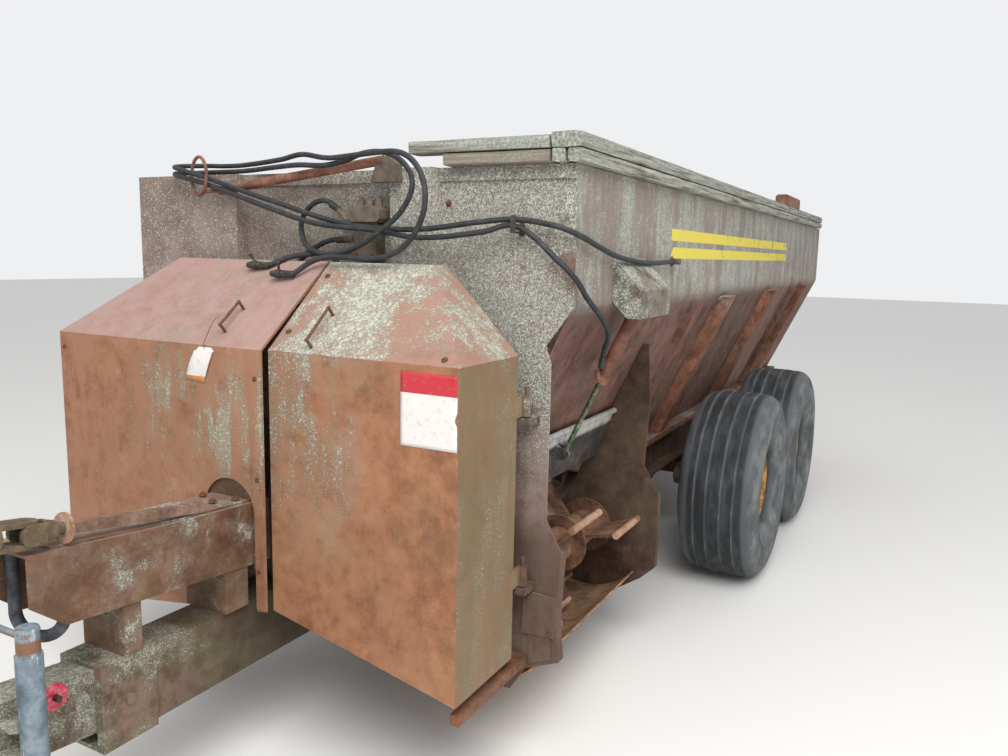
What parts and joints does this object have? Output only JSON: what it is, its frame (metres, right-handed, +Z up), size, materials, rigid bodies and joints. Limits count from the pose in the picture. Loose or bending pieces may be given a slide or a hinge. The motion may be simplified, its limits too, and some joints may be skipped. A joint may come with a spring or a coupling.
{
  "type": "manure spreader",
  "caption": "Towed side-discharge manure spreader: V-shaped tank with augers and a hammer rotor, front drive covers, tongue with jack and tandem wheels.",
  "frame": {"origin": "on the ground, in the middle of the machine's length and width", "axes": "+Z up, +Y towards the rear, -Y towards the hitch, +X towards the discharge side, the machine's left"},
  "size_m": [2.61, 7.5064, 2.243],
  "materials": {
    "rusty_grey_sheet": "rusted paint with grey lichen",
    "rust_sheet": "rusted paint",
    "rust_frame": "rusted paint",
    "rust_cover": "orange-brown rust with lichen",
    "board": "weathered grey planks",
    "worn_gate": "worn",
    "rod_steel": "dull green",
    "tyre": "weathered",
    "rim_yellow": "faded orange-yellow",
    "jack_paint": "faded blue-grey",
    "red_knob": "red",
    "black_rubber": "weathered",
    "hose_rubber": "weathered"
  },
  "bodies": {
    "spreader": {"front_wall": "rusty_grey_sheet", "rear_wall": "rust_sheet", "side_left": "rusty_grey_sheet", "side_right": "rusty_grey_sheet", "auger_trough": "rust_sheet", "chute_rear_plate": "rust_sheet", "rotor_trough": "rust_sheet", "board_front": "board", "board_left": "board", "frame": "rust_frame", "tongue": "rust_frame", "hitch": "rust_frame", "driveline_channel": "rust_sheet", "stored_shaft": "rust_frame", "hose_boom": "rust_frame", "valve_block": "rust_frame", "hose_clip": "rust_frame", "cylinder_bracket": "rusty_grey_sheet", "drive_block": "rust_frame", "cover_rail": "rust_frame", "beam_left": "rust_frame", "beam_right": "rust_frame", "jack_tube": "jack_paint", "jack_knob": "red_knob", "rubber_loop": "black_rubber", "side_fitting": "rust_frame", "top_bracket": "rust_sheet", "hose_a": "hose_rubber", "hose_b": "hose_rubber", "hose_c": "hose_rubber", "couplers": "rust_frame", "cover_right": "rust_cover"},
    "cover_door": {"cover_left": "rust_cover"},
    "rotor": {"rotor": "rust_frame"},
    "auger_left": {"auger_tube_left": "rust_frame", "auger_flight_left": "rust_frame"},
    "auger_right": {"auger_tube_right": "rust_frame", "auger_flight_right": "rust_frame"},
    "gate": {"gate": "worn_gate"},
    "gate_cylinder": {"gate_cylinder": "rust_frame"},
    "gate_rod": {"gate_rod": "rod_steel"},
    "wheel_front_left": {"tyre_front_left": "tyre", "rim_front_left": "rim_yellow"},
    "wheel_rear_left": {"tyre_rear_left": "tyre", "rim_rear_left": "rim_yellow"},
    "wheel_front_right": {"tyre_front_right": "tyre", "rim_front_right": "rim_yellow"},
    "wheel_rear_right": {"tyre_rear_right": "tyre", "rim_rear_right": "rim_yellow"},
    "jack_leg": {"jack_leg": "jack_paint"}
  },
  "joints": [
    {"name": "cover_door_hinge", "type": "hinge", "parent": "spreader", "child": "cover_door", "pos_m": [0.872, -1.95877, 1], "axis": [0, 0, 1], "range_deg": [0, 95]},
    {"name": "rotor_spin", "type": "hinge", "parent": "spreader", "child": "rotor", "pos_m": [0.67, -1.39677, 0.54], "axis": [0, 1, 0], "continuous": true},
    {"name": "auger_left_spin", "type": "hinge", "parent": "spreader", "child": "auger_left", "pos_m": [0.285, 0.90323, 0.78], "axis": [0, 1, 0], "continuous": true},
    {"name": "auger_right_spin", "type": "hinge", "parent": "spreader", "child": "auger_right", "pos_m": [-0.285, 0.90323, 0.78], "axis": [0, 1, 0], "continuous": true},
    {"name": "gate_swing", "type": "hinge", "parent": "spreader", "child": "gate", "pos_m": [0.78048, -1.38677, 1.09], "axis": [0, -1, 0], "range_deg": [0, 70]},
    {"name": "gate_cylinder_swing", "type": "hinge", "parent": "spreader", "child": "gate_cylinder", "pos_m": [1.074, -1.47677, 1.596], "axis": [0, -1, 0], "range_deg": [0, 3.4]},
    {"name": "gate_rod_slide", "type": "slide", "parent": "gate_cylinder", "child": "gate_rod", "axis": [0.4255, 0, 0.905], "range_m": [0, 0.084]},
    {"name": "jack_slide", "type": "slide", "parent": "spreader", "child": "jack_leg", "axis": [0, 0, 1], "range_m": [0, 0.3]},
    {"name": "wheel_front_left_spin", "type": "hinge", "parent": "spreader", "child": "wheel_front_left", "pos_m": [1.095, 0.30323, 0.52], "axis": [1, 0, 0], "continuous": true},
    {"name": "wheel_rear_left_spin", "type": "hinge", "parent": "spreader", "child": "wheel_rear_left", "pos_m": [1.095, 1.47323, 0.52], "axis": [1, 0, 0], "continuous": true},
    {"name": "wheel_front_right_spin", "type": "hinge", "parent": "spreader", "child": "wheel_front_right", "pos_m": [-1.095, 0.30323, 0.52], "axis": [1, 0, 0], "continuous": true},
    {"name": "wheel_rear_right_spin", "type": "hinge", "parent": "spreader", "child": "wheel_rear_right", "pos_m": [-1.095, 1.47323, 0.52], "axis": [1, 0, 0], "continuous": true}
  ],
  "couplings": [
    {"joint": "gate_cylinder_swing", "follows": "gate_swing", "ratio": 0.048},
    {"joint": "gate_rod_slide", "follows": "gate_swing", "m_per_rad": 0.068}
  ]
}
